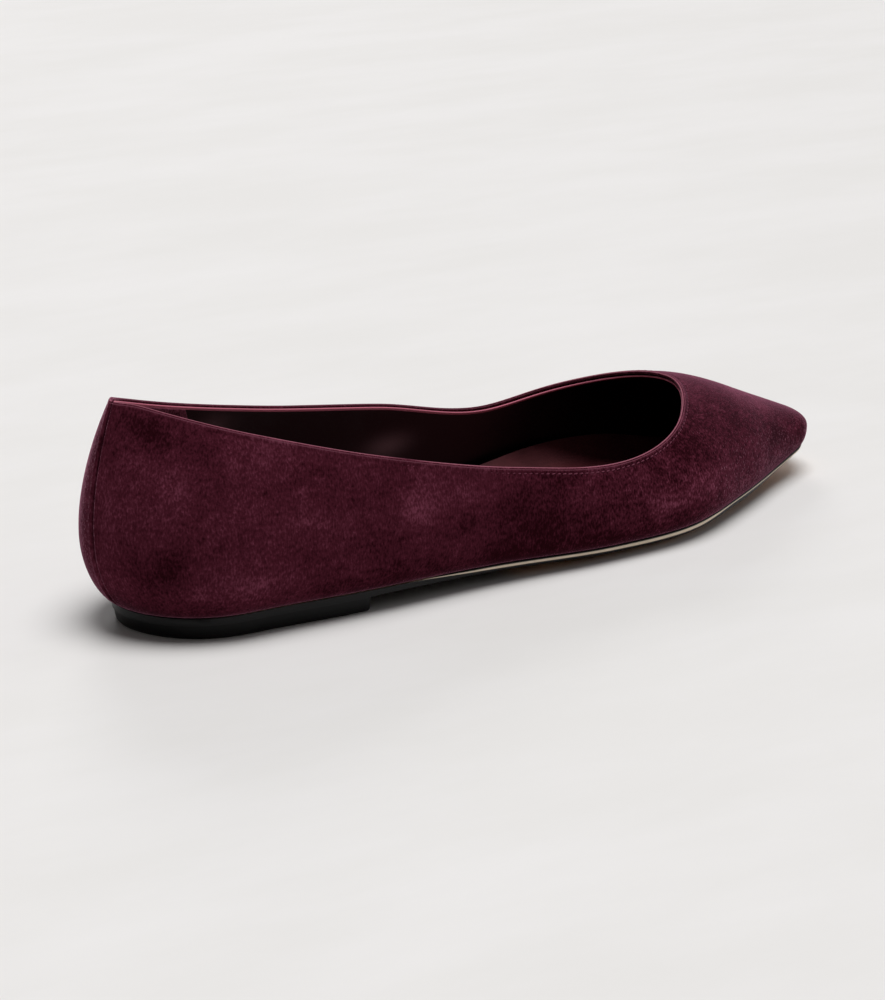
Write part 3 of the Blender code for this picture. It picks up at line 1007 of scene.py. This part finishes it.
# Black for the ink, for the line of painted shade and below the natural band
ink_and_painted_shade = on_edge * (under_band + over_band * between(crease_shade, 0.05, 0.2))
ink_and_painted_shade = ink_and_painted_shade + (1 - on_edge) * (1 - between(station, WAIST_INK_START, WAIST_INK_END))
natural = blend(between(patches * 0.6 + grain * 0.4, 0.3, 0.7), SOLE_DARK, SOLE_LIGHT)
natural = blend(on_edge * 0.95, natural, EDGE_LIGHT)
sole_leather.fed({
    "Base Color": blend(ink_and_painted_shade, natural, INK_AND_PAINTED_SHADE),
    "Roughness": 0.62 - ink_and_painted_shade * 0.22 + (grain - 0.5) * 0.2,
    "Normal": relief(grain * 0.06 + cloud(place, 0.25) * 0.02),
})
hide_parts("outsole")
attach(outsole, "root")


# Heel: a low lift of black satin rubber and fibre, glued and nailed through the sole's seat. Its breast is
# straight and its tread bevelled.
LIFT_INSET = 0.3
LIFT_TAPER = 0.6
LIFT_BEVEL = 0.7
LIFT_ROUND = 0.25

lift_back = HEEL_ROUND * (1 - np.cos(np.linspace(0, np.pi / 2, 30)))
lift_stations = np.concatenate([lift_back, np.linspace(HEEL_ROUND, BREAST, 18)[1:]])
lift_loop = Loop(np.concatenate([lift_stations, [120.0, THROAT, LENGTH]]))
lift_head = lift_loop.offset(SOLE_LIP - LIFT_INSET)
lift_foot = lift_loop.offset(SOLE_LIP - LIFT_INSET - LIFT_TAPER)
lift_tread = lift_loop.offset(SOLE_LIP - LIFT_INSET - LIFT_TAPER - LIFT_BEVEL)
lift_rings = []
for outer, inner in lift_loop.pairs()[:len(lift_stations)]:
    head_height = lift_loop.feather[outer] - GAP - SOLE_EDGE
    lift_rings.append(np.array([
        (*lift_head[outer], head_height),
        (*lift_foot[outer], LIFT_BEVEL),
        (*lift_tread[outer], 0.0),
        (*lift_tread[inner], 0.0),
        (*lift_foot[inner], LIFT_BEVEL),
        (*lift_head[inner], head_height),
    ]))
lift = add_piece("heel_lift", lift_rings, end_cap=lift_rings[-1])
rounded = lift.modifiers.new("rounded edges", "BEVEL")
rounded.width = LIFT_ROUND * MM
rounded.segments = 3
rounded.limit_method = "ANGLE"
rounded.angle_limit = np.radians(25)

LIFT_BLACK = tint(6, 6, 7)
LIFT_GREY = tint(10, 10, 11)
satin = new_finish(lift, "heel_black", {"Specular IOR Level": 0.2})
place = satin.node("TexCoord", output="Object")
wear_and_painted_shine = between(cloud(place, 9.0, 4.0, 0.6), 0.35, 0.75)
specks = cloud(place, 0.35, 2.0)
satin.fed({
    "Base Color": blend(wear_and_painted_shine * 0.6 + specks * 0.2, LIFT_BLACK, LIFT_GREY),
    "Roughness": 0.38 + wear_and_painted_shine * 0.14,
    "Normal": relief(specks * 0.02),
})
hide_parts("heel")
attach(lift, "root")


# Floor: a wide pale floor of painted plaster with a faint trowelled cloudiness. It lies a hair under the lift
# and the ball of the sole, so that no faces meet.
FLOOR_SIZE = 12.0
FLOOR_DROP = 0.15
bpy.ops.mesh.primitive_grid_add(x_subdivisions=8, y_subdivisions=8, size=FLOOR_SIZE)
floor = bpy.context.object
floor.name = "floor"
floor.location.z = -FLOOR_DROP * MM
FLOOR_LIGHT = tint(231, 229, 228)
FLOOR_SHADE = tint(227, 225, 223)
plaster = new_finish(floor, "floor_plaster", {"Roughness": 0.75, "Specular IOR Level": 0.2})
place = plaster.node("TexCoord", output="Object")
trowelled = place.node("Mapping", {}, {"Vector": place, "Scale": (0.4, 1.0, 1.0)}, "Vector")
clouds = between(cloud(trowelled, 60.0, 5.0, 0.6), 0.3, 0.7)
plaster.fed({
    "Base Color": blend(clouds, FLOOR_SHADE, FLOOR_LIGHT),
    "Normal": relief(cloud(place, 3.0, 3.0) * 0.02),
})


# Light: a broad soft light from high overhead, a weak low one from behind that skims the nap, and a faint one
# from the toe's side. The studio round them is dim and warm at the horizon and paler overhead.
SOFT_LIGHTS = {
    "overhead": ((0.05, -0.08, 1.0), 38.0, 2.55),
    "behind": ((0.6, 1.0, 0.5), 20.0, 0.6),
    "toe_side": ((1.0, -0.35, 0.28), 30.0, 0.3),
}
for name, (way, spread, strength) in SOFT_LIGHTS.items():
    light = bpy.data.lights.new(name, "SUN")
    light.angle = np.radians(spread)
    light.energy = strength
    lamp = bpy.data.objects.new(name, light)
    lamp.location = way
    lamp.rotation_euler = (-Vector(way)).to_track_quat("-Z", "Y").to_euler()
    bpy.context.collection.objects.link(lamp)
ZENITH = (0.17, 0.172, 0.176, 1.0)
HORIZON = (0.05, 0.038, 0.027, 1.0)
studio = bpy.data.worlds.new("studio")
studio.use_nodes = True
dome = Wire(studio.node_tree.nodes["Background"].outputs["Background"])
way = dome.node("TexCoord", output="Generated")
height = dome.node("SeparateXYZ", {}, {0: way}, "Z")
dome.fed({"Color": blend(between(height, 0.0, 0.9), HORIZON, ZENITH), "Strength": 1.0})
bpy.context.scene.world = studio
bpy.context.scene.view_settings.view_transform = "Standard"


# Camera: a long lens a little above the shoe, behind the heel's outer side, as in the photograph. It is aimed
# so that the one shoe fills the picture's width.
CAMERA_TURN = np.radians(-40.0)
CAMERA_RISE = np.radians(14.9)
CAMERA_DISTANCE = 1.03
SHOE_MIDDLE = Vector((0.0, 0.0, 0.025))
AIM = Vector((-0.0111, 0.005, 0.0135))
LENS = 135.0
camera = bpy.data.objects.new("camera", bpy.data.cameras.new("camera"))
level = np.cos(CAMERA_RISE)
back = Vector((np.sin(CAMERA_TURN) * level, -np.cos(CAMERA_TURN) * level, np.sin(CAMERA_RISE)))
camera.location = SHOE_MIDDLE + back * CAMERA_DISTANCE
camera.rotation_euler = (AIM - camera.location).to_track_quat("-Z", "Y").to_euler()
camera.data.lens = LENS
camera.data.sensor_width = 36.0
bpy.context.collection.objects.link(camera)
bpy.context.scene.camera = camera
